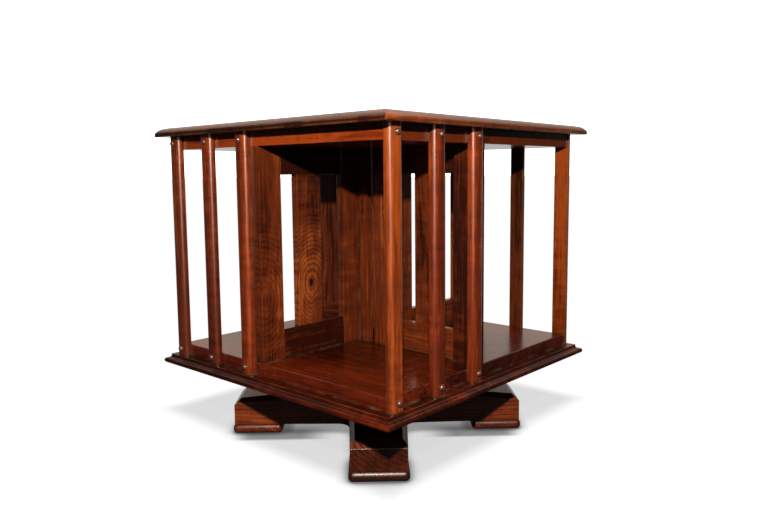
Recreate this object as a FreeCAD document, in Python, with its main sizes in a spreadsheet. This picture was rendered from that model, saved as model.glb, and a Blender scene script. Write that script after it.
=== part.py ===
import FreeCAD, Part
import math
import os
import Sketcher
from FreeCAD import Placement, Rotation, Vector

# A revolving desktop bookcase: a square open case, moulded at top and bottom, that turns on a
# spindle above a cross of two lapped arms. Each face has three applied slats and one open book
# bay, and four slatted partitions stand in a pinwheel round a small square core.
# Frame: millimetres, +Z up, origin on the floor in the middle of the cross. The faces of the
# case look along -Y, +X, +Y and -X. "face" counts quarter turns from the -Y face.

DRIVING = {
    # the boards of the case, from the plinth up
    "board_side": 310,
    "plinth_thickness": 10.1,
    "shelf_thickness": 12.5,
    "bay_height": 216.5,
    "upper_thickness": 14,
    "top_thickness": 9.8,
    "overhang": 16,
    "board_arris": 1.5,
    # edge mouldings: cove over bead on the plinth, quirked thumbnail over a rim on the top
    "cove_radius": 3.1,
    "bead_radius": 2.9,
    "rim_height": 4.6,
    "rim_quirk": 0.8,
    "thumbnail_width": 8.7,
    "thumbnail_radius": 9.5,
    "thumbnail_fillet": 0.4,
    # applied slats
    "slat_width": 17,
    "slat_thickness": 7.8,
    "slat_rounding": 5.2,
    "slat_lead": 1.6,
    "slat_pitch": 58.8,
    # domed studs
    "stud_radius": 3.1,
    "stud_shank_radius": 1.3,
    "stud_grip": 9,
    "stud_rise": 8,
    "stud_drop": 7.6,
    # partitions round the core
    "core_half": 10.5,
    "panel_thickness": 8.5,
    "panel_arris": 0.8,
    "outer_stile_width": 28,
    "outer_stile_thickness": 13.5,
    "middle_slat_offset": 48.6,
    "middle_slat_width": 32.8,
    "inner_stile_width": 28,
    "core_stile_gap": 9,
    "core_stile_width": 12,
    "core_slit": 3.5,
    "bottom_rail_height": 31,
    "top_rail_height": 28,
    # the cross
    "foot_reach": 162.2,
    "foot_length": 55.2,
    "foot_thickness": 10.8,
    "foot_margin": 1.9,
    "foot_rounding": 4.4,
    "foot_corner": 5,
    "arm_end_width": 55,
    "arm_root_width": 66,
    "arm_end_height": 28.4,
    "arm_height": 39.8,
    "arm_bevel": 5,
    "arm_end_bevel": 6.5,
    "crotch_radius": 14,
    "arm_angle": 43.3,
    # the swivel
    "case_lift": 27.4,
    "spindle_radius": 5,
    "spindle_head_radius": 11,
    "spindle_head_height": 4,
    "spindle_end": 3,
    "spindle_chamfer": 1,
    "boss_margin": 7,
    "boss_round": 6,
    "thrust_radius": 28,
    "thrust_thickness": 1.5,
    "bush_wall": 3,
    "flange_radius": 9.4,
    "flange_thickness": 1.5,
    "washer_thickness": 1.4,
    "nut_width": 16,
    "nut_height": 8,
    # clearances
    "running_fit": 0.05,
    "seat_fit": 0.05,
    "end_play": 0.3,
    # waste taken off outside a moulded edge
    "cutter_margin": 4,
}


class Size:
    """A length of the sheet, or a sum of them: its value and the expression that gives it."""

    def __init__(self, value, text):
        self.value = value
        self.text = text

    def __add__(self, other):
        return combine(self, "+", other, self.value + plain(other))

    def __sub__(self, other):
        return combine(self, "-", other, self.value - plain(other))

    def __mul__(self, other):
        return combine(self, "*", other, self.value * plain(other))

    def __truediv__(self, other):
        return combine(self, "/", other, self.value / plain(other))

    def __neg__(self):
        return Size(-self.value, f"(-1 * {self.text})")


def plain(number):
    return number.value if isinstance(number, Size) else number


def combine(left, sign, right, value):
    other = right.text if isinstance(right, Size) else str(right)
    return Size(value, f"({left.text} {sign} {other})")


class Sizes:
    """The driving dimensions by name."""


doc = FreeCAD.newDocument("revolving_bookcase")
sheet = doc.addObject("Spreadsheet::Sheet", "Sizes")
d = Sizes()
for row, (name, number) in enumerate(DRIVING.items(), start=1):
    sheet.set(f"A{row}", name)
    sheet.set(f"B{row}", str(number))
    sheet.setAlias(f"B{row}", name)
    setattr(d, name, Size(number, f"Sizes.{name}"))
doc.recompute()

# Levels, and the half widths that the pieces share.
half = d.board_side / 2
arm_base = d.foot_thickness
arm_top = arm_base + d.arm_height
plinth_base = arm_top + d.case_lift
shelf_base = plinth_base + d.plinth_thickness
bay_base = shelf_base + d.shelf_thickness
bay_top = bay_base + d.bay_height
top_base = bay_top + d.upper_thickness
slat_length = top_base - shelf_base
low_stud = d.stud_rise
high_stud = slat_length - d.stud_drop
bush_radius = d.spindle_radius + d.running_fit + d.bush_wall
panel_outer = d.core_half + d.panel_thickness
# Distances along a partition, from the edge of the boards inwards.
core_stile_end = half + d.core_half - d.core_slit
core_stile_start = core_stile_end - d.core_stile_width
inner_stile_start = core_stile_start - d.core_stile_gap - d.inner_stile_width

nodes = []


def bind(item, name, length):
    """Set a property to a length and keep it tied to the sheet."""
    setattr(item, name, plain(length))
    if isinstance(length, Size):
        item.setExpression(name, length.text)


def new_body(label):
    body = doc.addObject("PartDesign::Body", label)
    body.Label = label
    nodes.append(body)
    return body


def place(body, x, y, z, angle=0):
    body.Placement = Placement(Vector(plain(x), plain(y), plain(z)),
                               Rotation(Vector(0, 0, 1), plain(angle)))
    for axis, length in (("x", x), ("y", y), ("z", z)):
        if isinstance(length, Size):
            body.setExpression(f"Placement.Base.{axis}", length.text)
    if isinstance(angle, Size):
        body.setExpression("Placement.Rotation.Angle", angle.text)


def quarter_turn(x, y, face):
    """The place of (x, y) on the -Y face once turned to another face."""
    return ((x, y), (-y, x), (-x, -y), (y, -x))[face]


def origin_feature(body, role):
    return next(item for item in body.Origin.OriginFeatures if item.Role == role)


def new_sketch(body, role, offset=0, shift=0):
    """A sketch on an origin plane, lifted along its normal and shifted along its own X."""
    sketch = body.newObject("Sketcher::SketchObject", "Sketch")
    sketch.AttachmentSupport = [(origin_feature(body, role), "")]
    sketch.MapMode = "FlatFace"
    sketch.AttachmentOffset = Placement(Vector(plain(shift), 0, plain(offset)), Rotation())
    for axis, length in (("x", shift), ("z", offset)):
        if isinstance(length, Size):
            sketch.setExpression(f"AttachmentOffset.Base.{axis}", length.text)
    return sketch


def pin(sketch, edge, point, x, y):
    """Hold one point of a sketch at (x, y); a bare 0 puts it on the axis."""
    for kind, axis, length in (("DistanceX", -2, x), ("DistanceY", -1, y)):
        if isinstance(length, Size):
            rule = Sketcher.Constraint(kind, -1, 1, edge, point, length.value)
            index = sketch.addConstraint(rule)
            sketch.setExpression(f"Constraints[{index}]", length.text)
        elif (edge, point) != (-1, 1):
            sketch.addConstraint(Sketcher.Constraint("PointOnObject", edge, point, axis))


def set_radius(sketch, edge, radius):
    index = sketch.addConstraint(Sketcher.Constraint("Radius", edge, radius.value))
    sketch.setExpression(f"Constraints[{index}]", radius.text)


def draw_outline(sketch, corners):
    """Close a wire through corners (x, y) or (x, y, radius, turn): there the edge that leads to
    the corner is an arc, with turn 1 when it goes anticlockwise and -1 when clockwise."""
    ends = []
    for before, corner in zip(corners[-1:] + corners[:-1], corners):
        start = Vector(plain(before[0]), plain(before[1]), 0)
        end = Vector(plain(corner[0]), plain(corner[1]), 0)
        if len(corner) == 2:
            edge = sketch.addGeometry(Part.LineSegment(start, end))
            ends.append((edge, 1, 2))
            continue
        radius, turn = corner[2], corner[3]
        chord = end - start
        across = Vector(-chord.y, chord.x, 0).normalize()
        depth = math.sqrt(max(radius.value ** 2 - (chord.Length / 2) ** 2, 0))
        centre = (start + end) / 2 + across * (turn * depth)
        circle = Part.Circle(centre, Vector(0, 0, 1), radius.value)
        first, last = (start, end) if turn > 0 else (end, start)
        spokes = first - centre, last - centre
        angles = [math.atan2(spoke.y, spoke.x) for spoke in spokes]
        edge = sketch.addGeometry(Part.ArcOfCircle(circle, angles[0], angles[1]))
        ends.append((edge, 1, 2) if turn > 0 else (edge, 2, 1))
    for (edge, first, last), (following, start, _) in zip(ends, ends[1:] + ends[:1]):
        sketch.addConstraint(Sketcher.Constraint("Coincident", edge, last, following, start))
    for (edge, first, last), corner in zip(ends, corners):
        pin(sketch, edge, last, corner[0], corner[1])
        if len(corner) > 2:
            set_radius(sketch, edge, corner[2])


def draw_circle(sketch, x, y, radius):
    centre = Vector(plain(x), plain(y), 0)
    edge = sketch.addGeometry(Part.Circle(centre, Vector(0, 0, 1), radius.value))
    set_radius(sketch, edge, radius)
    pin(sketch, edge, 3, x, y)


def rounded_rectangle(left, low, right, high, radius):
    """Corners of an upright rectangle whose four corners are rounded."""
    return [(left + radius, low), (right - radius, low), (right, low + radius, radius, 1),
            (right, high - radius), (right - radius, high, radius, 1), (left + radius, high),
            (left, high - radius, radius, 1), (left, low + radius),
            (left + radius, low, radius, 1)][1:]


def pad(body, sketch, length, side="One side", back=False):
    feature = body.newObject("PartDesign::Pad", "Pad")
    feature.Profile = sketch
    feature.SideType = side
    feature.Reversed = back
    bind(feature, "Length", length)
    return feature


def pocket(body, sketch, length=None, side="One side", back=False):
    """Cut a sketch away, to a depth or, with none given, right through."""
    feature = body.newObject("PartDesign::Pocket", "Pocket")
    feature.Profile = sketch
    feature.SideType = side
    feature.Reversed = back
    if length is None:
        feature.Type = "ThroughAll"
    else:
        bind(feature, "Length", length)
    return feature


def revolve(body, sketch):
    feature = body.newObject("PartDesign::Revolution", "Revolution")
    feature.Profile = sketch
    feature.ReferenceAxis = (sketch, ["V_Axis"])
    feature.Angle = 360
    return feature


def repeat_on_four_faces(body, features):
    pattern = body.newObject("PartDesign::PolarPattern", "PolarPattern")
    pattern.Originals = features
    pattern.Axis = (origin_feature(body, "Z_Axis"), [""])
    pattern.Angle = 360
    pattern.Occurrences = 4
    body.Tip = pattern
    return pattern


def fillet(body, base, radius, chosen):
    """Round the edges of the last feature whose bounding box the test chosen accepts."""
    doc.recompute()
    names = [f"Edge{number}" for number, edge in enumerate(base.Shape.Edges, start=1)
             if chosen(edge.BoundBox)]
    feature = body.newObject("PartDesign::Fillet", "Fillet")
    feature.Base = (base, names)
    bind(feature, "Radius", radius)
    return feature


def bore(body, radius):
    sketch = new_sketch(body, "XY_Plane")
    draw_circle(sketch, 0, 0, radius)
    return pocket(body, sketch, side="Symmetric")


# ---- the cross ----------------------------------------------------------------------------

arm_reach = d.foot_reach - d.foot_margin
lap = d.arm_root_width / 2 + d.crotch_radius


def make_arm(label, notch_level, face):
    """One beam of the cross. The whole cross is shaped first, tapered in plan, with arms that
    fall away to bevelled ends and with rounded crotches; then all that belongs to the other
    beam comes off: its arms, and half the height of the lap."""
    body = new_body(label)
    end_half = d.arm_end_width / 2
    root_half = d.arm_root_width / 2
    taper = (root_half - end_half) / arm_reach
    crotch = root_half / (taper + 1)
    plan = new_sketch(body, "XY_Plane")
    corners = []
    for turn in range(4):
        corners += [quarter_turn(arm_reach, -end_half, turn),
                    quarter_turn(arm_reach, end_half, turn), quarter_turn(crotch, crotch, turn)]
    draw_outline(plan, corners)
    cross = pad(body, plan, d.arm_height)
    near, far = plain(crotch) - 0.1, plain(crotch) + 0.1
    fillet(body, cross, d.crotch_radius,
           lambda box: near < abs(box.XMin) < far and near < abs(box.YMin) < far
           and box.XLength + box.YLength < 0.1)

    beyond = arm_reach + d.cutter_margin
    slope = new_sketch(body, "XZ_Plane")
    draw_outline(slope, [(arm_reach, d.arm_end_height), (beyond, d.arm_end_height),
                         (beyond, d.arm_height), (lap, d.arm_height)])
    cuts = [pocket(body, slope, side="Symmetric")]
    arris = d.arm_end_height - d.arm_end_bevel
    tip = new_sketch(body, "XZ_Plane")
    draw_outline(tip, [(arm_reach, arris), (beyond, arris), (beyond, d.arm_height),
                       (arm_reach + arris - d.arm_height, d.arm_height)])
    cuts.append(pocket(body, tip, side="Symmetric"))
    # The long bevels are stopped at the lap, and follow the taper and the fall of the arm.
    fall = (d.arm_height - d.arm_end_height) / (arm_reach - lap)
    edge = root_half - taper * lap
    outer = edge + d.cutter_margin
    above = d.arm_height + d.cutter_margin
    for hand in (1, -1):
        flank = new_sketch(body, "YZ_Plane", offset=lap)
        draw_outline(flank, [(outer * hand, above), (outer * hand, above - (outer - edge) * 2
                                                     - d.arm_bevel),
                             ((edge - d.arm_bevel - d.cutter_margin) * hand, above)][::hand])
        cut = pocket(body, flank)
        cut.UseCustomVector = True
        cut.AlongSketchNormal = False
        cut.Direction = Vector(1, -hand * plain(taper), -plain(fall))
        cut.setExpression("Direction.y", (taper * -hand).text)
        cut.setExpression("Direction.z", (-fall).text)
        cuts.append(cut)
    repeat_on_four_faces(body, cuts)

    others = new_sketch(body, "XY_Plane")
    draw_outline(others, [(lap, lap), (lap, beyond), (-lap, beyond), (-lap, lap)])
    draw_outline(others, [(lap, -lap), (lap, -beyond), (-lap, -beyond), (-lap, -lap)])
    pocket(body, others, side="Symmetric")
    notch = new_sketch(body, "XY_Plane", offset=notch_level)
    draw_outline(notch, [(lap, -lap), (lap, lap), (-lap, lap), (-lap, -lap)])
    pocket(body, notch, d.arm_height / 2)

    bore(body, d.spindle_radius + d.seat_fit)
    place(body, 0, 0, arm_base, d.arm_angle + 90 * face)
    return body


lower_arm = make_arm("arm_lower", d.arm_height, 0)
make_arm("arm_upper", d.arm_height / 2, 1)

# The spindle's head lies in a counterbore under the lower arm.
counterbore = new_sketch(lower_arm, "XY_Plane")
draw_circle(counterbore, 0, 0, d.spindle_head_radius + d.seat_fit)
pocket(lower_arm, counterbore, d.spindle_head_height, back=True)

for face in range(4):
    body = new_body(f"foot_{face + 1}")
    heel = d.foot_reach - d.foot_length
    wide = d.arm_end_width / 2 + d.foot_margin
    sketch = new_sketch(body, "XY_Plane")
    draw_outline(sketch, rounded_rectangle(heel, -wide, d.foot_reach, wide, d.foot_corner))
    slab = pad(body, sketch, d.foot_thickness)
    fillet(body, slab, d.foot_rounding, lambda box: box.ZLength < 0.1)
    place(body, 0, 0, 0, d.arm_angle + 90 * face)

# ---- the swivel ---------------------------------------------------------------------------

# A turned boss carries the thrust washer on which the plinth rests.
body = new_body("boss")
boss_height = d.case_lift - d.thrust_thickness
boss_radius = lap - d.boss_margin
inner = d.spindle_radius + d.seat_fit
sketch = new_sketch(body, "XZ_Plane")
draw_outline(sketch, [(inner, 0), (boss_radius, 0), (boss_radius, boss_height - d.boss_round),
                      (boss_radius - d.boss_round, boss_height, d.boss_round, 1),
                      (inner, boss_height)])
revolve(body, sketch)
place(body, 0, 0, arm_top)

body = new_body("thrust_washer")
sketch = new_sketch(body, "XY_Plane")
draw_circle(sketch, 0, 0, d.thrust_radius)
draw_circle(sketch, 0, 0, inner)
pad(body, sketch, d.thrust_thickness)
place(body, 0, 0, arm_top + boss_height)

# Spindle: head down, shank up through the boss, the plinth and the shelf board.
body = new_body("spindle")
flange_top = d.plinth_thickness + d.shelf_thickness + d.flange_thickness
nut_base = plinth_base + flange_top + d.end_play + d.washer_thickness
spindle_length = nut_base + d.nut_height + d.spindle_end - arm_base
sketch = new_sketch(body, "XZ_Plane")
draw_outline(sketch, [(0, 0), (d.spindle_head_radius, 0),
                      (d.spindle_head_radius, d.spindle_head_height),
                      (d.spindle_radius, d.spindle_head_height),
                      (d.spindle_radius, spindle_length - d.spindle_chamfer),
                      (d.spindle_radius - d.spindle_chamfer, spindle_length),
                      (0, spindle_length)])
revolve(body, sketch)
place(body, 0, 0, arm_base)

body = new_body("spindle_washer")
sketch = new_sketch(body, "XY_Plane")
draw_circle(sketch, 0, 0, d.flange_radius)
draw_circle(sketch, 0, 0, inner)
pad(body, sketch, d.washer_thickness)
place(body, 0, 0, nut_base - d.washer_thickness)

body = new_body("spindle_nut")
sketch = new_sketch(body, "XY_Plane")
flat = d.nut_width / 2
point = d.nut_width / math.sqrt(3)
draw_outline(sketch, [(point, 0), (point / 2, flat), (-point / 2, flat), (-point, 0),
                      (-point / 2, -flat), (point / 2, -flat)])
pad(body, sketch, d.nut_height)
bore(body, inner)
place(body, 0, 0, nut_base)

# The flanged bush is pressed into the two bottom boards and turns on the spindle.
body = new_body("bush")
running = d.spindle_radius + d.running_fit
sketch = new_sketch(body, "XZ_Plane")
sleeve = d.plinth_thickness + d.shelf_thickness
draw_outline(sketch, [(running, 0), (bush_radius, 0), (bush_radius, sleeve),
                      (d.flange_radius, sleeve), (d.flange_radius, flange_top),
                      (running, flange_top)])
revolve(body, sketch)
place(body, 0, 0, plinth_base)

# ---- the boards ---------------------------------------------------------------------------


def make_moulded_board(label, thickness, waste):
    """A square board whose edges are moulded: waste is what the plane takes off above the
    moulding, and it runs out at the corners, so that they meet in mitres."""
    body = new_body(label)
    edge = half + d.overhang
    sketch = new_sketch(body, "XY_Plane")
    draw_outline(sketch, [(edge, -edge), (edge, edge), (-edge, edge), (-edge, -edge)])
    pad(body, sketch, thickness)
    moulding = new_sketch(body, "XZ_Plane")
    draw_outline(moulding, waste)
    cut = pocket(body, moulding, side="Symmetric")
    repeat_on_four_faces(body, [cut])
    return body


outer = half + d.overhang
beyond = outer + d.cutter_margin
bead = outer - d.bead_radius
ledge = bead - d.cove_radius
step = d.cove_radius + d.bead_radius * 2
plinth = make_moulded_board("plinth", d.plinth_thickness, [
    (ledge, d.plinth_thickness), (ledge, step), (bead, d.bead_radius * 2, d.cove_radius, 1),
    (outer, d.bead_radius, d.bead_radius, -1), (bead, 0, d.bead_radius, -1),
    (beyond, 0), (beyond, d.plinth_thickness)])
bore(plinth, bush_radius + d.seat_fit)
place(plinth, 0, 0, plinth_base)

quirk = outer - d.rim_quirk
crown = quirk - d.thumbnail_width
shoulder = d.top_thickness - d.thumbnail_fillet
top = make_moulded_board("top", d.top_thickness, [
    (crown, d.top_thickness), (crown, shoulder), (quirk, d.rim_height, d.thumbnail_radius, -1),
    (outer, d.rim_height), (beyond, d.rim_height), (beyond, d.top_thickness)])
place(top, 0, 0, top_base)


def slat_start(number):
    """Where a slat begins along the -Y face."""
    return d.slat_pitch * number - half - d.slat_lead


def make_board(label, thickness, stud_level):
    """A square board drilled in its edges for the studs of the slats."""
    body = new_body(label)
    sketch = new_sketch(body, "XY_Plane")
    draw_outline(sketch, [(half, -half), (half, half), (-half, half), (-half, -half)])
    slab = pad(body, sketch, thickness)
    rise = plain(thickness)
    if label == "shelf":
        fillet(body, slab, d.board_arris, lambda box: box.ZMin > rise - 0.1)
    drill = new_sketch(body, "XZ_Plane", offset=half)
    for number in range(3):
        draw_circle(drill, slat_start(number) + d.slat_width / 2, stud_level,
                    d.stud_shank_radius + d.seat_fit)
    holes = pocket(body, drill, d.stud_grip + d.seat_fit)
    repeat_on_four_faces(body, [holes])
    return body


shelf = make_board("shelf", d.shelf_thickness, low_stud)
bore(shelf, bush_radius + d.seat_fit)
place(shelf, 0, 0, shelf_base)
upper = make_board("upper_board", d.upper_thickness, d.upper_thickness - d.stud_drop)
place(upper, 0, 0, bay_top)

# ---- the slats and their studs ------------------------------------------------------------

for face in range(4):
    for number in range(3):
        body = new_body(f"slat_{face + 1}{'abc'[number]}")
        deep, wide, bend = d.slat_thickness, d.slat_width, d.slat_rounding
        sketch = new_sketch(body, "XY_Plane")
        draw_outline(sketch, [(0, 0), (0, bend - deep), (bend, -deep, bend, 1),
                              (wide - bend, -deep), (wide, bend - deep, bend, 1), (wide, 0)])
        pad(body, sketch, slat_length)
        drill = new_sketch(body, "XZ_Plane")
        for level in (low_stud, high_stud):
            draw_circle(drill, wide / 2, level, d.stud_shank_radius + d.seat_fit)
        pocket(body, drill, side="Symmetric")
        x, y = quarter_turn(slat_start(number), -half, face)
        place(body, x, y, shelf_base, 90 * face)

for label, level in (("studs_lower", low_stud), ("studs_upper", high_stud)):
    body = new_body(label)
    face_of_slat = -(half + d.slat_thickness)
    studs = []
    for number in range(3):
        middle = slat_start(number) + d.slat_width / 2
        sketch = new_sketch(body, "XY_Plane", offset=level, shift=middle)
        draw_outline(sketch, [(0, d.stud_grip - half), (0, face_of_slat - d.stud_radius),
                              (d.stud_radius, face_of_slat, d.stud_radius, 1),
                              (d.stud_shank_radius, face_of_slat),
                              (d.stud_shank_radius, d.stud_grip - half)])
        studs.append(revolve(body, sketch))
    repeat_on_four_faces(body, studs)
    place(body, 0, 0, shelf_base)

# ---- the partitions -----------------------------------------------------------------------


def make_upright(label, face, start, width, level, length, thickness=d.panel_thickness):
    """A board of a partition standing on end, with eased edges."""
    body = new_body(label)
    sketch = new_sketch(body, "XY_Plane")
    draw_outline(sketch, rounded_rectangle(-(d.core_half + thickness), start - half,
                                           -d.core_half, start - half + width,
                                           d.panel_arris))
    pad(body, sketch, length)
    place(body, 0, 0, level, 90 * face)


def make_rail(label, face, level, height):
    """A level board between the outer and the inner stile of a partition."""
    body = new_body(label)
    sketch = new_sketch(body, "XZ_Plane", offset=half - d.outer_stile_width)
    draw_outline(sketch, rounded_rectangle(-panel_outer, level, -d.core_half, level + height,
                                           d.panel_arris))
    pad(body, sketch, inner_stile_start - d.outer_stile_width, back=True)
    place(body, 0, 0, 0, 90 * face)


for face in range(4):
    mark = face + 1
    rail_top = bay_base + d.bottom_rail_height
    rail_low = bay_top - d.top_rail_height
    make_upright(f"outer_stile_{mark}", face, d.board_side * 0, d.outer_stile_width,
                 bay_base, d.bay_height, d.outer_stile_thickness)
    make_upright(f"middle_slat_{mark}", face, d.middle_slat_offset, d.middle_slat_width,
                 rail_top, rail_low - rail_top)
    make_upright(f"inner_stile_{mark}", face, inner_stile_start, d.inner_stile_width,
                 bay_base, d.bay_height)
    make_upright(f"core_stile_{mark}", face, core_stile_start, d.core_stile_width,
                 bay_base, d.bay_height)
    make_rail(f"bottom_rail_{mark}", face, bay_base, d.bottom_rail_height)
    make_rail(f"top_rail_{mark}", face, rail_low, d.top_rail_height)

# ---- check and write ----------------------------------------------------------------------

doc.recompute()
failed = [item.Label for item in doc.Objects
          if "Invalid" in item.State or "Error" in item.State]
failed += [body.Label for body in nodes if body.Shape.isNull() or not body.Shape.isValid()]
if failed:
    raise RuntimeError(f"not built: {failed}")
os.makedirs("parts", exist_ok=True)
for body in nodes:
    body.Shape.exportStep(f"parts/{body.Label}.step")
print(len(nodes), "nodes")
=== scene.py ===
import bmesh
import bpy
import math
import random
from mathutils import Matrix, Vector


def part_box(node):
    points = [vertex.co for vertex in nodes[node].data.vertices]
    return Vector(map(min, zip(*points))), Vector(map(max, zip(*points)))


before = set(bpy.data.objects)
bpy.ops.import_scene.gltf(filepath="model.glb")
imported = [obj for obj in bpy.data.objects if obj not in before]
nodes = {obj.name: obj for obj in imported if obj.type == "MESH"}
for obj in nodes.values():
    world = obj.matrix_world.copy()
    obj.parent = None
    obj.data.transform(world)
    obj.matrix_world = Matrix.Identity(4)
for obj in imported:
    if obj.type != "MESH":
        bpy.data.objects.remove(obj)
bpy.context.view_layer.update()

# ---- the cross and its pads ---------------------------------------------------------------
# Two solid mahogany beams, half lapped, with stopped bevels and rounded crotches, sawn and
# planed, then stained and french polished. Four thicker pads of the same wood, with their
# arrises rubbed round, are glued under the ends. The turned boss stands on the lap.


def add(tree, kind, inputs=None, **settings):
    """Add a shader node; an input is given a value, or another node's output to follow."""
    new = tree.nodes.new("ShaderNode" + kind)
    for name, value in settings.items():
        setattr(new, name, value)
    for name, value in (inputs or {}).items():
        if isinstance(value, bpy.types.NodeSocket):
            tree.links.new(value, new.inputs[name])
        else:
            new.inputs[name].default_value = value
    return new


def calc(tree, operation, *values, clamp=False):
    """Arithmetic on numbers."""
    return add(tree, "Math", dict(enumerate(values)), operation=operation,
               use_clamp=clamp).outputs[0]


def vectors(tree, operation, *values):
    """Arithmetic on vectors. A length or a dot product is a number, the rest are vectors."""
    made = add(tree, "VectorMath", dict(enumerate(values)), operation=operation)
    return made.outputs["Value" if operation in ("LENGTH", "DOT_PRODUCT") else "Vector"]


def ramp(tree, value, low, high):
    """0 below low, 1 above high and a smooth rise between; the other way when low > high."""
    first, last = (0.0, 1.0) if low < high else (1.0, 0.0)
    return add(tree, "MapRange", {"Value": value, "From Min": min(low, high),
                                  "From Max": max(low, high), "To Min": first, "To Max": last},
               interpolation_type="SMOOTHSTEP").outputs[0]


def blend(tree, factor, under, over):
    """Lay one colour over another."""
    return add(tree, "Mix", {0: factor, 6: under, 7: over}, data_type="RGBA").outputs[2]


def noise(tree, vector, scale, stretch, detail=2.0, rough=0.5, output="Fac"):
    """A cloudy pattern of scale waves to the metre. A stretch under 1 draws it out that way."""
    squeezed = vectors(tree, "MULTIPLY", vector, stretch)
    return add(tree, "TexNoise", {"Vector": squeezed, "Scale": scale, "Detail": detail,
                                  "Roughness": rough}).outputs[output]


def vary(tree, tone, pattern, weight):
    """Lighten a tone where a pattern is above its middle, and darken it where it is below."""
    return calc(tree, "MULTIPLY_ADD", calc(tree, "SUBTRACT", pattern, 0.5), weight, tone)


def open_group(name, sockets):
    """A shader node group with its named inputs, and its ends ready to be joined."""
    group = bpy.data.node_groups.new(name, "ShaderNodeTree")
    for label, kind, way, value in sockets:
        socket = group.interface.new_socket(label, in_out=way, socket_type="NodeSocket" + kind)
        if value is not None:
            socket.default_value = value
    return (group, group.nodes.new("NodeGroupInput").outputs,
            group.nodes.new("NodeGroupOutput").inputs)


def new_material(title):
    """A material with its node tree and its shader."""
    material = bpy.data.materials.new(title)
    material.use_nodes = True
    return material, material.node_tree, material.node_tree.nodes["Principled BSDF"]


def finish_piece(name, material):
    """Give a piece of the frame its finish all over."""
    piece = nodes[name]
    for held in piece.material_slots:
        held.material = material
    if not piece.material_slots:
        piece.data.materials.append(material)


# Grain space: Z runs along the grain, Y through the board and X across it, in metres from the
# heart of the tree, so that the growth rings are cylinders round Z. Each pattern is given by
# its waves to the metre, how it is drawn out, its detail and its roughness.
WANDER = (16, (1, 1, 0.14), 2)
RAGGED_FINE = (90, (1, 1, 0.12), 3)
RAGGED_COARSE = (28, (1, 1, 0.4), 2)
FIBRE = (480, (1, 1, 0.03), 5, 0.75)
RIBBON = (90, (1, 0.4, 0.02), 2)
CLOUD = (11, (1, 1, 0.3), 1)
MOTTLE = (150, (1, 1, 0.2), 3, 0.6)
CURL = (120, (0.22, 0.22, 1), 3, 0.6)
CURL_PATCHES = (14, (1, 1, 0.5), 1)
RING_PATCHES = (22, (1, 1, 0.3), 2)
PORES = (1500, (1, 1, 0.03), 1)
# How far the grain strays, how a knot is drawn out along the board and into it, how far it
# pushes the rings aside, how big its dark heart is, and how far the golden wood round it goes.
STRAY = 0.012
KNOT_SHAPE = (1, 0.2, 0.62)
KNOT_PUSH = 0.011
KNOT_HEART = (0.0042, 0.0015)
KNOT_GOLD = (0.06, 0.02)

grain, given, result = open_group("mahogany grain", [
    ("Vector", "Vector", "INPUT", None),
    ("Ring Spacing", "Float", "INPUT", 0.004),
    ("Ring Strength", "Float", "INPUT", 0.3),
    ("Ribbon Strength", "Float", "INPUT", 0.5),
    ("Knot", "Vector", "INPUT", (0.0, 0.0, 0.0)),
    ("Knot Strength", "Float", "INPUT", 0.0),
    ("Eye", "Float", "INPUT", 0.0),
    ("Tone", "Float", "OUTPUT", None),
    ("Pores", "Float", "OUTPUT", None),
    ("Heart", "Float", "OUTPUT", None)])
board = given["Vector"]
centred = vectors(grain, "SUBTRACT", noise(grain, board, *WANDER, output="Color"),
                  (0.5, 0.5, 0.5))
strayed = vectors(grain, "MULTIPLY_ADD", centred, (STRAY, STRAY, STRAY), board)
radius = vectors(grain, "LENGTH", vectors(grain, "MULTIPLY", strayed, (1, 1, 0)))
from_knot = vectors(grain, "SUBTRACT", strayed, given["Knot"])
knot_distance = vectors(grain, "LENGTH", vectors(grain, "MULTIPLY", from_knot, KNOT_SHAPE))

# The rings bend round a knot. Where Eye is 1 they run round the knot alone, and the wood near
# it is golden; there and elsewhere they come and go in patches.
falloff = calc(grain, "POWER", calc(grain, "DIVIDE", knot_distance, KNOT_PUSH), 2.0)
swell = calc(grain, "MULTIPLY", calc(grain, "EXPONENT", calc(
    grain, "MULTIPLY", falloff, -1.0)), given["Knot Strength"])
ragged = calc(grain, "ADD", calc(grain, "MULTIPLY", noise(grain, board, *RAGGED_FINE), 1.3),
              calc(grain, "MULTIPLY", noise(grain, board, *RAGGED_COARSE), 1.8))
centre = add(grain, "Mix", {0: given["Eye"], 2: radius, 3: knot_distance}).outputs[0]
turns = calc(grain, "DIVIDE", centre, given["Ring Spacing"])
turns = calc(grain, "ADD", calc(grain, "ADD", turns, swell), ragged)
wave = calc(grain, "SINE", calc(grain, "MULTIPLY", turns, 2 * math.pi))
late = calc(grain, "POWER", calc(grain, "MULTIPLY_ADD", wave, 0.5, 0.5), 2.5)
strong = ramp(grain, noise(grain, board, *RING_PATCHES), 0.32, 0.62)
beside_knot = ramp(grain, knot_distance, *KNOT_GOLD)
kept = add(grain, "Mix", {0: given["Eye"], 2: 1.0, 3: beside_knot}).outputs[0]
late = calc(grain, "MULTIPLY", late, calc(grain, "MULTIPLY_ADD", strong, 0.75, 0.25))
late = calc(grain, "MULTIPLY", late, kept)
golden = calc(grain, "MULTIPLY", calc(grain, "SUBTRACT", beside_knot, 0.4), given["Eye"])

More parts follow.
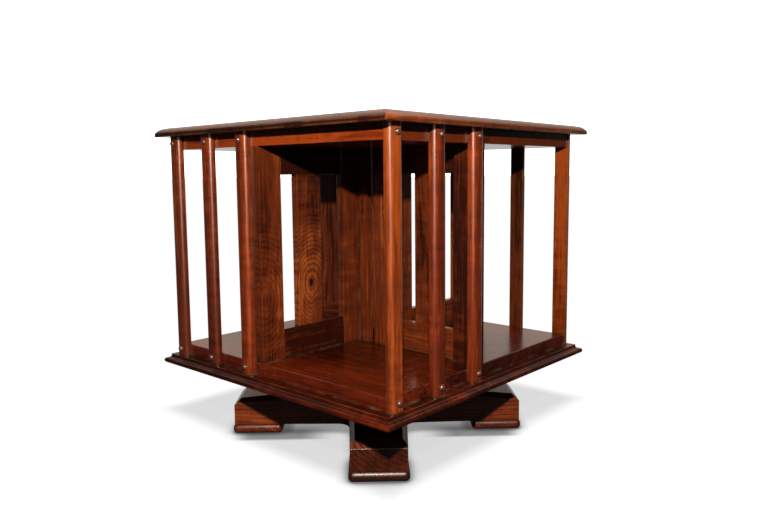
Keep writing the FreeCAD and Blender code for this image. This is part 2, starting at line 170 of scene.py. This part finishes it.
# Curl is the short cross-grain ripple that shows in patches, and ribbon the long stripe that
# interlocked grain gives a board.
curl = calc(grain, "MULTIPLY", calc(grain, "SUBTRACT", noise(grain, strayed, *CURL), 0.5),
            ramp(grain, noise(grain, board, *CURL_PATCHES), 0.35, 0.6))
tone = 0.5
for pattern, weight in ((noise(grain, strayed, *FIBRE), 0.95),
                        (noise(grain, board, *CLOUD), 1.0),
                        (noise(grain, strayed, *MOTTLE), 0.45)):
    tone = vary(grain, tone, pattern, weight)
for pattern, weight in ((curl, 0.6), (swell, 0.1), (golden, 0.22)):
    tone = calc(grain, "MULTIPLY_ADD", pattern, weight, tone)
tone = vary(grain, tone, noise(grain, strayed, *RIBBON), given["Ribbon Strength"])
tone = calc(grain, "SUBTRACT", tone, calc(grain, "MULTIPLY", late, given["Ring Strength"]))
tone = calc(grain, "MULTIPLY_ADD", tone, 1.5, -0.22)
pores = ramp(grain, noise(grain, strayed, *PORES), 0.6, 0.7)
heart = calc(grain, "MULTIPLY", ramp(grain, knot_distance, *KNOT_HEART), calc(
    grain, "MULTIPLY", given["Knot Strength"], 0.5), clamp=True)
grain.links.new(tone, result["Tone"])
grain.links.new(pores, result["Pores"])
grain.links.new(heart, result["Heart"])

# Wear and painted shade: Edge is where hands have rubbed an arris. The next output darkens the
# wood beside a corner: painted shade there, together with old polish gathered in it. Wax is the
# pale line of wax and dust right in the corner.
CORNER_REACH = 0.006
wear_and_shade, given, result = open_group("handling_and_corner_shade", [
    ("Vector", "Vector", "INPUT", None),
    ("Eased", "Vector", "INPUT", None),
    ("Edge", "Float", "OUTPUT", None),
    ("Grime And Shade", "Float", "OUTPUT", None),
    ("Wax", "Float", "OUTPUT", None)])
flatness = vectors(wear_and_shade, "DOT_PRODUCT", given["Eased"],
                   add(wear_and_shade, "NewGeometry").outputs["True Normal"])
openness = add(wear_and_shade, "AmbientOcclusion", {"Distance": CORNER_REACH}, samples=6).outputs["AO"]
patchy = noise(wear_and_shade, given["Vector"], 45, (1, 1, 1), 4)
rubbed = calc(wear_and_shade, "MULTIPLY", ramp(wear_and_shade, flatness, 0.995, 0.93),
              ramp(wear_and_shade, openness, 0.6, 0.85))
for name, mask, patches in (("Edge", rubbed, (0.3, 0.7)),
                            ("Grime And Shade", ramp(wear_and_shade, openness, 0.85, 0.4), (0.1, 0.6)),
                            ("Wax", ramp(wear_and_shade, openness, 0.66, 0.5), (0.4, 0.7))):
    wear_and_shade.links.new(calc(wear_and_shade, "MULTIPLY", mask, ramp(wear_and_shade, patchy, *patches)), result[name])

MAHOGANY = ((0.030, 0.0046, 0.0014), (0.145, 0.0205, 0.0033), (0.390, 0.0680, 0.0085))
MAHOGANY_STAIN = (0.8, 0.8)
EDGE_COLOUR = (0.42, 0.13, 0.035, 1)
# Nearly black, for the painted shade beside corners with old polish gathered in it.
GRIME_AND_SHADE_COLOUR = (0.012, 0.004, 0.0025, 1)
WAX_COLOUR = (0.36, 0.20, 0.12, 1)
KNOT_COLOUR = (0.02, 0.004, 0.002, 1)
PORE_SHOWS = 0.4
EDGE_SHOWS = 0.5
GRIME_AND_SHADE_SHOWS = 0.7
PLANING = 0.00010
PORE_DEPTH = 0.000015
FIBRE_HEIGHT = 0.000012
fall = random.Random(1895)


def centre_of(name):
    low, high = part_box(name)
    return (Vector(low) + Vector(high)) / 2


def mahogany(name, along, face, heart, spacing=0.0042, rings=0.3, ribbon=0.5, lift_and_shade=0.0,
             knot=None, eye=0.0, lean=(0.0, 0.0), gloss=0.2, coat=(0.4, 0.15), wax=0.1,
             ends=0.45, eased=0.0010, stain_and_sheen=MAHOGANY_STAIN):
    """Polished mahogany for one board. along is the grain, face the direction the wide face
    looks, heart the place of the board's middle in grain space, and lean how far the board was
    sawn off the grain. spacing and rings are the growth rings, ribbon the stripe, and knot a
    knot's place and strength. lift lightens the wood, and darkens it when below 0, which on two
    boards is painted shade. stain is how much green and blue the colour lets through, which on
    the top is also a painted sheen. ends is how dark its ends go, gloss its roughness, coat the
    polish's weight and roughness, wax the wax in its corners, and eased how round its arrises
    look."""
    along, face = Vector(along).normalized(), Vector(face).normalized()
    turn = Matrix((face.cross(along), face, along))
    turn = Matrix.Rotation(lean[0], 3, "X") @ Matrix.Rotation(lean[1], 3, "Y") @ turn
    middle = turn @ centre_of(name)
    material, tree, shader = new_material(name + "_mahogany")
    place = add(tree, "TexCoord").outputs["Object"]
    slide = Vector((heart[0], heart[1], fall.uniform(-3, 3)))
    board = add(tree, "Mapping", {"Vector": place, "Rotation": turn.to_euler("XYZ"),
                                  "Location": slide - middle}).outputs[0]
    figure = add(tree, "Group", node_tree=grain)
    tree.links.new(board, figure.inputs["Vector"])
    figure.inputs["Ring Spacing"].default_value = spacing
    figure.inputs["Ring Strength"].default_value = rings
    figure.inputs["Ribbon Strength"].default_value = ribbon
    if knot:
        figure.inputs["Knot"].default_value = turn @ Vector(knot[0]) + slide - middle
        figure.inputs["Knot Strength"].default_value = knot[1]
        figure.inputs["Eye"].default_value = eye
    edge = add(tree, "Bevel", {"Radius": eased}, samples=8).outputs[0]
    use = add(tree, "Group", node_tree=wear_and_shade)
    tree.links.new(edge, use.inputs["Eased"])
    tree.links.new(place, use.inputs["Vector"])
    tone, pores, grime_and_shade = figure.outputs["Tone"], figure.outputs["Pores"], use.outputs["Grime And Shade"]

    dark, mid, light = ((red, green * stain_and_sheen[0], blue * stain_and_sheen[1], 1)
                        for red, green, blue in MAHOGANY)
    colour = blend(tree, ramp(tree, tone, -0.05 - lift_and_shade, 0.5 - lift_and_shade), dark, mid)
    colour = blend(tree, ramp(tree, tone, 0.45 - lift_and_shade, 1.05 - lift_and_shade), colour, light)
    # Sawn across, the ends of the fibres drink more stain and go darker, and show no pores.
    facing = vectors(tree, "DOT_PRODUCT", add(tree, "TexCoord").outputs["Normal"], along)
    end_grain = ramp(tree, calc(tree, "ABSOLUTE", facing), 0.6, 0.9)
    pores_seen = calc(tree, "MULTIPLY", pores, calc(
        tree, "MULTIPLY_ADD", end_grain, -PORE_SHOWS, PORE_SHOWS))
    # Laid on in turn: pores, ends, knot, rubbed arrises, painted corner shade, wax.
    for cover, over in ((pores_seen, dark),
                        (calc(tree, "MULTIPLY", end_grain, ends), dark),
                        (figure.outputs["Heart"], KNOT_COLOUR),
                        (calc(tree, "MULTIPLY", use.outputs["Edge"], EDGE_SHOWS), EDGE_COLOUR),
                        (calc(tree, "MULTIPLY", grime_and_shade, GRIME_AND_SHADE_SHOWS), GRIME_AND_SHADE_COLOUR),
                        (calc(tree, "MULTIPLY", use.outputs["Wax"], wax), WAX_COLOUR)):
        colour = blend(tree, cover, colour, over)
    tree.links.new(colour, shader.inputs["Base Color"])

    rough = calc(tree, "MULTIPLY_ADD", noise(tree, place, 45, (1, 1, 1), 3), 0.12, gloss - 0.04)
    rough = calc(tree, "MULTIPLY_ADD", pores, 0.12, rough)
    rough = calc(tree, "MULTIPLY_ADD", grime_and_shade, 0.2, rough)
    tree.links.new(rough, shader.inputs["Roughness"])

    height = calc(tree, "MULTIPLY", noise(tree, board, 60, (1, 1, 0.2), 2), PLANING)
    height = calc(tree, "MULTIPLY_ADD", pores, -PORE_DEPTH, height)
    height = calc(tree, "MULTIPLY_ADD", tone, FIBRE_HEIGHT, height)
    relief = add(tree, "Bump", {"Height": height, "Distance": 1.0, "Strength": 1.0,
                                "Normal": edge}).outputs[0]
    tree.links.new(relief, shader.inputs["Normal"])
    shader.inputs["Coat Weight"].default_value = coat[0]
    shader.inputs["Coat Roughness"].default_value = coat[1]
    finish_piece(name, material)


def heading(degrees):
    """A level direction, by its angle from X."""
    return Vector((math.cos(math.radians(degrees)), math.sin(math.radians(degrees)), 0))


ARM_ANGLE = 43.3
UP = Vector((0, 0, 1))
# The fourth pad has gone nearly black under its polish.
PAD_LIFT = (-0.05, -0.05, -0.05, -0.9)
mahogany("arm_lower", heading(ARM_ANGLE), UP, (0.03, -0.06), 0.0045, rings=0.3, lift_and_shade=0.15,
         gloss=0.34, coat=(0.15, 0.15), stain_and_sheen=(1.0, 1.2))
mahogany("arm_upper", heading(ARM_ANGLE + 90), UP, (0.04, -0.05), 0.0045, rings=0.5,
         lift_and_shade=0.0, gloss=0.28, coat=(0.2, 0.15), stain_and_sheen=(1.0, 1.2))
mahogany("boss", UP, heading(0), (0.02, 0.0), 0.004, rings=0.3, gloss=0.28)
for number in range(4):
    # The pads are short cuts whose end grain looks outwards.
    mahogany(f"foot_{number + 1}", heading(ARM_ANGLE + 90 * number), UP,
             (fall.uniform(-0.05, 0.05), -0.05), 0.003, rings=0.2, lean=(0.5, 0.3),
             lift_and_shade=PAD_LIFT[number], gloss=0.32, coat=(0.75, 0.4), eased=0.005)

# ---- the swivel ---------------------------------------------------------------------------
# A steel spindle with its washer and hexagonal nut, a steel thrust washer, and a flanged brass
# bush in the two bottom boards. All are turned, so the tool marks run round the spindle.

TOOL_MARKS = 2500
TOOL_MARK_DEPTH = 0.00002


def turned_metal(names, title, base, dull, rough):
    """Turned metal, stained dull in patches where it is also rougher."""
    metal, tree, shader = new_material(title)
    place = add(tree, "TexCoord").outputs["Object"]
    radius = vectors(tree, "LENGTH", vectors(tree, "MULTIPLY", place, (1, 1, 0)))
    level = add(tree, "SeparateXYZ", {0: place}).outputs["Z"]
    lathe = add(tree, "CombineXYZ", {0: radius, 2: level}).outputs[0]
    marks = noise(tree, lathe, TOOL_MARKS, (1, 1, 1), 2)
    tarnish = ramp(tree, noise(tree, place, 150, (1, 1, 1), 4), 0.35, 0.7)
    relief = add(tree, "Bump", {"Height": calc(tree, "MULTIPLY", marks, TOOL_MARK_DEPTH),
                                "Distance": 1.0}).outputs[0]
    tree.links.new(blend(tree, tarnish, base, dull), shader.inputs["Base Color"])
    tree.links.new(calc(tree, "MULTIPLY_ADD", tarnish, 0.2, rough), shader.inputs["Roughness"])
    tree.links.new(relief, shader.inputs["Normal"])
    shader.inputs["Metallic"].default_value = 1.0
    for name in names:
        finish_piece(name, metal)


turned_metal(["thrust_washer", "spindle", "spindle_washer", "spindle_nut"], "oiled_steel",
             (0.46, 0.45, 0.44, 1), (0.2, 0.18, 0.16, 1), 0.28)
turned_metal(["bush"], "turned_brass", (0.72, 0.5, 0.2, 1), (0.42, 0.27, 0.1, 1), 0.25)

# ---- the boards ---------------------------------------------------------------------------
# Plinth, shelf, upper board and top are each one wide mahogany board. The plinth and the top
# have their mouldings run on all four edges, the shelf has an eased upper arris, and the top
# two and bottom two are screwed and glued together from inside.

mahogany("plinth", (1, 0, 0), UP, (0.05, -0.09), 0.006, rings=0.1, lift_and_shade=-0.42, lean=(0.02, 0.01),
         wax=0.5, gloss=0.3, coat=(0.0, 0.15), stain_and_sheen=(0.7, 0.7))
mahogany("shelf", (1, 0, 0), UP, (0.02, -0.05), 0.007, rings=0.12, lift_and_shade=-0.42,
         lean=(0.03, 0.0), wax=0.6, ends=0.0, stain_and_sheen=(0.7, 0.7))
mahogany("upper_board", (1, 0, 0), UP, (-0.03, -0.07), 0.006, rings=0.08, lift_and_shade=0.5, ends=0.7)
# The top lets through more green and blue than the other boards: a painted greyish sheen on its
# moulding.
mahogany("top", (0, 1, 0), UP, (0.0, -0.06), 0.007, rings=0.12, ribbon=0.7, lean=(0.02, 0.02),
         ends=1.0, coat=(0.8, 0.2), eased=0.004, stain_and_sheen=(1.2, 1.7))

# ---- the slats ----------------------------------------------------------------------------
# Twelve rift-sawn strips whose outer corners are rounded, planted against the edges of the
# shelf and the upper board. No two took the stain and the polish alike.

FACES = (Vector((0, -1, 0)), Vector((1, 0, 0)), Vector((0, 1, 0)), Vector((-1, 0, 0)))
SLAT_LIFT = {"1b": 0.05, "1c": 0.15, "2a": 0.36, "2b": -0.15, "2c": 0.05, "3a": 0.33,
             "3b": -0.1}
SLAT_STAIN = {"1a": (0.95, 1.2), "2a": (0.95, 0.7), "3a": (0.95, 0.9), "3b": (1.3, 1.5)}
SLAT_COAT = {"1a": (0.9, 0.36), "1b": (0.9, 0.36)}
for face in range(4):
    for letter in "abc":
        mark = f"{face + 1}{letter}"
        mahogany(f"slat_{mark}", UP, FACES[face],
                 (fall.uniform(0.03, 0.08), fall.uniform(-0.05, 0.05)), 0.0035, rings=0.08,
                 ribbon=0.6, lift_and_shade=SLAT_LIFT.get(mark, 0.0), gloss=0.24, wax=0.3,
                 coat=SLAT_COAT.get(mark, (0.7, 0.3)),
                 stain_and_sheen=SLAT_STAIN.get(mark, MAHOGANY_STAIN))

# ---- the studs ----------------------------------------------------------------------------
# Turned bronze studs with domed heads, one through each end of each slat into the board's
# edge. They have gone dark brown all over, with brighter specks where dusters have rubbed.

STUD_DARK = (0.14, 0.060, 0.038, 1)
STUD_BRIGHT = (0.42, 0.23, 0.16, 1)
studs, tree, shader = new_material("darkened_bronze")
place = add(tree, "TexCoord").outputs["Object"]
speckle = noise(tree, place, 900, (1, 1, 1), 4)
relief = add(tree, "Bump", {"Height": calc(tree, "MULTIPLY", speckle, 0.00003),
                            "Distance": 1.0}).outputs[0]
tree.links.new(blend(tree, ramp(tree, speckle, 0.35, 0.7), STUD_DARK, STUD_BRIGHT),
               shader.inputs["Base Color"])
tree.links.new(calc(tree, "MULTIPLY_ADD", speckle, 0.2, 0.22), shader.inputs["Roughness"])
tree.links.new(relief, shader.inputs["Normal"])
shader.inputs["Metallic"].default_value = 0.7
for name in ("studs_lower", "studs_upper"):
    finish_piece(name, studs)

# ---- the partitions -----------------------------------------------------------------------
# Each partition is a frame of thin boards: an outer and an inner stile, a rail at the foot and
# one at the head between them, and a middle slat between the rails. A narrow stile beyond the
# inner one closes its side of the square core.

# Mostly the boards' own tones. bottom_rail_4 and top_rail_1 are darkened as painted shade, where
# the lamp still lights them.
BOARD_LIFT_AND_SHADE = {"outer_stile_1": -0.07, "outer_stile_2": -0.25, "middle_slat_1": -0.04,
              "middle_slat_4": -0.1, "bottom_rail_1": -0.3, "bottom_rail_2": -0.05,
              "bottom_rail_4": -0.5, "top_rail_1": -0.9, "top_rail_2": -0.5}
BOARD_STAIN = {"middle_slat_1": (1.25, 1.9)}
# Two boards of the first partition are cut through a knot, with the rings round it.
BOARD_KNOT = {"middle_slat_1": {"knot": ((-0.0105, -0.088, 0.176), 2.2), "eye": 1.0,
                                "rings": 0.26, "spacing": 0.0026},
              "outer_stile_1": {"knot": ((-0.0105, -0.150, 0.165), 0.8), "eye": 1.0,
                                "rings": 0.16, "spacing": 0.0034}}
WILD = {"heart": (0.004, -0.018), "rings": 0.3, "spacing": 0.0048, "lean": (0.05, 0.02)}
PLAIN = {"heart": (0.05, 0.02), "rings": 0.1, "spacing": 0.0038}
for face in range(4):
    mark = face + 1
    made = {f"outer_stile_{mark}": WILD if face % 2 == 0 else PLAIN,
            f"middle_slat_{mark}": WILD}
    for stile in ("inner_stile", "core_stile"):
        made[f"{stile}_{mark}"] = {"heart": (0.05, fall.uniform(-0.02, 0.02)),
                                   "rings": 0.12, "spacing": 0.0036}
    for rail in ("bottom_rail", "top_rail"):
        made[f"{rail}_{mark}"] = {"heart": (0.02, fall.uniform(-0.04, -0.02)),
                                  "rings": 0.15, "spacing": 0.0045, "ribbon": 0.6}
    for name, cut in made.items():
        mahogany(name, FACES[face] if "rail" in name else UP, FACES[(face + 1) % 4],
                 lift_and_shade=BOARD_LIFT_AND_SHADE.get(name, 0.0), wax=0.3,
                 stain_and_sheen=BOARD_STAIN.get(name, (1.15, 1.7)), **{**cut, **BOARD_KNOT.get(name, {})})

# ---- the surface it stands on ------------------------------------------------------------
# A plain white studio table, wide enough that no edge of it comes into view. It glows white
# where it is seen, with painted shade on it: a soft square under the case, a deeper one along
# the two side arms, and a close one where a pad touches the table.

TABLE_REACH = 40
SHADE_CENTRE = (0.049, -0.051, 0)
SHADE_EDGE = (0.168, 0.202)
SHADE_DEPTH = 0.31
ARM_SHADE_IN = (0.045, 0.09)
ARM_SHADE_OUT = (0.165, 0.14)
ARM_SHADE_FRONT = (0.052, 0.044)
ARM_SHADE_BACK = (0.0, 0.03)
ARM_SHADE_DEPTH = 0.66
CONTACT_SHADE_REACH = 0.014
REAR = heading(132)


def put(name, data):
    """A new object in the scene."""
    made = bpy.data.objects.new(name, data)
    bpy.context.scene.collection.objects.link(made)
    return made


def rays(tree):
    """The kinds of ray that may meet a surface, and 1 for the camera's own, glass or not."""
    seen = add(tree, "LightPath").outputs
    return seen, calc(tree, "MAXIMUM", seen["Is Camera Ray"], seen["Is Transmission Ray"])


grid = bmesh.new()
bmesh.ops.create_grid(grid, x_segments=1, y_segments=1, size=TABLE_REACH)
sheet = bpy.data.meshes.new("floor")
grid.to_mesh(sheet)
grid.free()
floor = put("floor", sheet)
paint, tree, shader = new_material("white_table_with_painted_shade")
tree.nodes.remove(shader)
seen, looked_at = rays(tree)
place = add(tree, "TexCoord").outputs["Object"]

# Painted shade: a soft square under the case, centred a little away from the near corner.
offset = vectors(tree, "ABSOLUTE", vectors(tree, "ADD", place, SHADE_CENTRE))
apart = add(tree, "SeparateXYZ", {0: offset}).outputs
clear = ramp(tree, calc(tree, "SMOOTH_MAX", apart["X"], apart["Y"], 0.02), *SHADE_EDGE)
white = calc(tree, "MULTIPLY_ADD", clear, SHADE_DEPTH, 1.0 - SHADE_DEPTH)

# Painted shade along the near side of the two side arms.
outward = calc(tree, "ABSOLUTE", vectors(tree, "DOT_PRODUCT", place, heading(ARM_ANGLE)))
before = vectors(tree, "DOT_PRODUCT", place, heading(ARM_ANGLE - 90))
arm_shade = calc(tree, "MULTIPLY", ramp(tree, outward, *ARM_SHADE_IN),
                 ramp(tree, before, *ARM_SHADE_FRONT))
arm_shade = calc(tree, "MULTIPLY", arm_shade, ramp(tree, outward, *ARM_SHADE_OUT))
arm_shade = calc(tree, "MULTIPLY", arm_shade, ramp(tree, before, *ARM_SHADE_BACK))
white = calc(tree, "MULTIPLY", white, calc(
    tree, "MULTIPLY_ADD", arm_shade, -ARM_SHADE_DEPTH, 1.0))

# Painted contact shade wherever something comes close to the table.
contact_shade = add(tree, "AmbientOcclusion", {"Distance": CONTACT_SHADE_REACH}, samples=8).outputs["AO"]
white = calc(tree, "MULTIPLY", white, calc(
    tree, "MULTIPLY_ADD", ramp(tree, contact_shade, 0.4, 1.0), 0.8, 0.2))

# For reflections the table glows too: pale on its far part and almost black on its near part.
# It throws hardly any light back up.
rearward = vectors(tree, "DOT_PRODUCT", vectors(tree, "NORMALIZE", place), REAR)
mirrored = calc(tree, "MULTIPLY", seen["Is Glossy Ray"], calc(
    tree, "MULTIPLY_ADD", ramp(tree, rearward, 0.35, 0.8), 0.7, 0.02))
glow = add(tree, "Emission", {"Color": (1, 1, 1, 1), "Strength": calc(
    tree, "MULTIPLY", white, calc(tree, "MAXIMUM", mirrored, looked_at))}).outputs[0]
bounce = calc(tree, "MULTIPLY_ADD", looked_at, 0.03, 0.02)
matt = add(tree, "BsdfDiffuse", {"Color": bounce}).outputs[0]
both = add(tree, "AddShader", {0: glow, 1: matt}).outputs[0]
tree.links.new(both, tree.nodes["Material Output"].inputs["Surface"])
sheet.materials.append(paint)

# ---- light --------------------------------------------------------------------------------
# One small lamp just above the camera lights everything and leaves no glare. Beside it a warm
# glint and a large soft box show only in the polish of the rounded pieces. The room is dark on
# the camera's side, and white behind the object and overhead.

ROOM_COLOUR = (1, 0.80, 0.68, 1)
KEY_PLACE = (0.557, -0.603, 0.490)
SOFT_BOX_PLACE = (0.600, -0.650, 0.320)
LIT_POINT = Vector((0, 0, 0.17))

world = bpy.data.worlds.new("studio")
world.use_nodes = True
tree = world.node_tree
seen, looked_at = rays(tree)
glossy = seen["Is Glossy Ray"]
direction = add(tree, "TexCoord").outputs["Generated"]
behind = vectors(tree, "DOT_PRODUCT", direction, REAR)
above = add(tree, "SeparateXYZ", {0: direction}).outputs["Z"]
overhead = calc(tree, "MULTIPLY", calc(tree, "MULTIPLY_ADD", glossy, 0.8, 0.2),
                ramp(tree, behind, 0.1, 0.45))
wall = calc(tree, "MULTIPLY_ADD", glossy, -1.4, 2.0)
room = calc(tree, "MAXIMUM", calc(tree, "MULTIPLY", ramp(tree, behind, 0.3, 0.85), wall),
            calc(tree, "MULTIPLY", ramp(tree, above, 0.35, 0.7), overhead))
room = calc(tree, "MULTIPLY_ADD", room, 0.98, 0.02)
backdrop = tree.nodes["Background"].inputs
tree.links.new(calc(tree, "MAXIMUM", room, looked_at), backdrop["Strength"])
tree.links.new(blend(tree, looked_at, ROOM_COLOUR, (1, 1, 1, 1)), backdrop["Color"])
bpy.context.scene.world = world

rounded = bpy.data.collections.new("rounded_pieces")
for name in nodes:
    if name.startswith(("slat_", "studs_", "foot_", "arm_")):
        rounded.objects.link(nodes[name])


def hang(name, lamp, place):
    """Hang a lamp, turned towards the middle of the object."""
    hung = put(name, lamp)
    hung.location = place
    hung.rotation_mode = "QUATERNION"
    hung.rotation_quaternion = (hung.location - LIT_POINT).to_track_quat("Z", "Y")
    return hung


def only_in_polish(hung):
    """Let a lamp show as a reflection alone, and only in the rounded pieces."""
    hung.visible_diffuse = False
    hung.visible_camera = False
    hung.light_linking.receiver_collection = rounded


lamp = bpy.data.lights.new("key", "AREA")
lamp.shape = "DISK"
lamp.size = 0.02
lamp.energy = 8
hang("key", lamp, KEY_PLACE).visible_glossy = False

glint = lamp.copy()
glint.name = "glint"
glint.size = 0.05
glint.color = (1, 0.86, 0.72)
only_in_polish(hang("glint", glint, KEY_PLACE))

soft_box = bpy.data.lights.new("soft_box", "AREA")
soft_box.shape = "RECTANGLE"
soft_box.size = 0.45
soft_box.size_y = 0.40
soft_box.energy = 1.2
soft_box.color = (1, 0.80, 0.64)
only_in_polish(hang("soft_box", soft_box, SOFT_BOX_PLACE))
bpy.context.scene.view_settings.view_transform = "Standard"

# ---- the camera ---------------------------------------------------------------------------
# A normal lens just under the height of the top, looking slightly down at the near corner.
# Its focal length and centre are in pixels of the frame.

FRAME_SIZE = (768, 511)
FOCAL_PIXELS = 703.99
LENS_CENTRE = (387.03, 249.49)
CAMERA_PLACE = Vector((0.5420, -0.5836, 0.2902))
AZIMUTH = math.radians(41.946)
ELEVATION = math.radians(6.221)
ROLL = math.radians(-0.519)

ahead = Vector((-math.sin(AZIMUTH) * math.cos(ELEVATION),
                math.cos(AZIMUTH) * math.cos(ELEVATION), -math.sin(ELEVATION)))
right = Vector((math.cos(AZIMUTH), math.sin(AZIMUTH), 0))
up = right.cross(ahead)
across = math.cos(ROLL) * right + math.sin(ROLL) * up
upright = math.cos(ROLL) * up - math.sin(ROLL) * right
stand = Matrix((across, upright, -ahead)).transposed().to_4x4()
stand.translation = CAMERA_PLACE
lens = bpy.data.cameras.new("camera")
lens.sensor_width = 36
lens.lens = FOCAL_PIXELS / FRAME_SIZE[0] * lens.sensor_width
lens.shift_x = (FRAME_SIZE[0] / 2 - LENS_CENTRE[0]) / FRAME_SIZE[0]
lens.shift_y = (LENS_CENTRE[1] - FRAME_SIZE[1] / 2) / FRAME_SIZE[0]
camera = put("camera", lens)
camera.matrix_world = stand
bpy.context.scene.camera = camera
